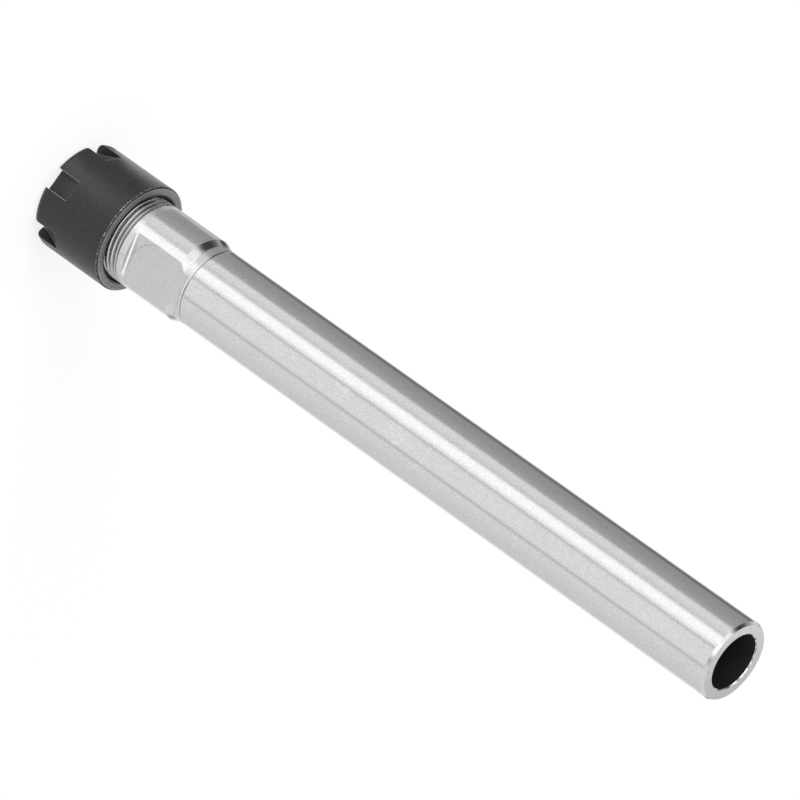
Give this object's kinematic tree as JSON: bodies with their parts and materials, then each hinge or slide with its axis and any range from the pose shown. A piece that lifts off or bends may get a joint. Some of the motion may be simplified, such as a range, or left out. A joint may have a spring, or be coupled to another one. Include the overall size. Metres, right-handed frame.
{
  "type": "straight shank collet chuck",
  "caption": "Slim straight shank tool holder: a long hollow ground shank, a head with two spanner flats, a slit spring collet and a slotted clamping nut.",
  "frame": {"origin": "centre of the nut's front face, which the chuck stands on", "axes": "+Z along the common axis from the nut towards the rear end of the shank, the two spanner flats face -Y and +Y"},
  "size_m": [0.0164, 0.0164, 0.1257],
  "materials": {
    "ground_steel": "fine ground and turned steel",
    "hardened_steel": "polished hardened steel",
    "black_oxide_steel": "black oxide, satin"
  },
  "bodies": {
    "nut": {"clamping_nut": "black_oxide_steel"},
    "collet": {"spring_collet": "hardened_steel"},
    "holder": {"holder_body": "ground_steel"}
  },
  "joints": [
    {"name": "thread_turn", "type": "hinge", "parent": "nut", "child": "collet", "pos_m": [0, 0, 0.006], "axis": [0, 0, 1], "range_deg": [0, 2160]},
    {"name": "thread_feed", "type": "slide", "parent": "collet", "child": "holder", "axis": [0, 0, 1], "range_m": [0, 0.0045]}
  ],
  "couplings": [
    {"joint": "thread_turn", "follows": "thread_feed", "rad_per_m": 8377.6}
  ]
}
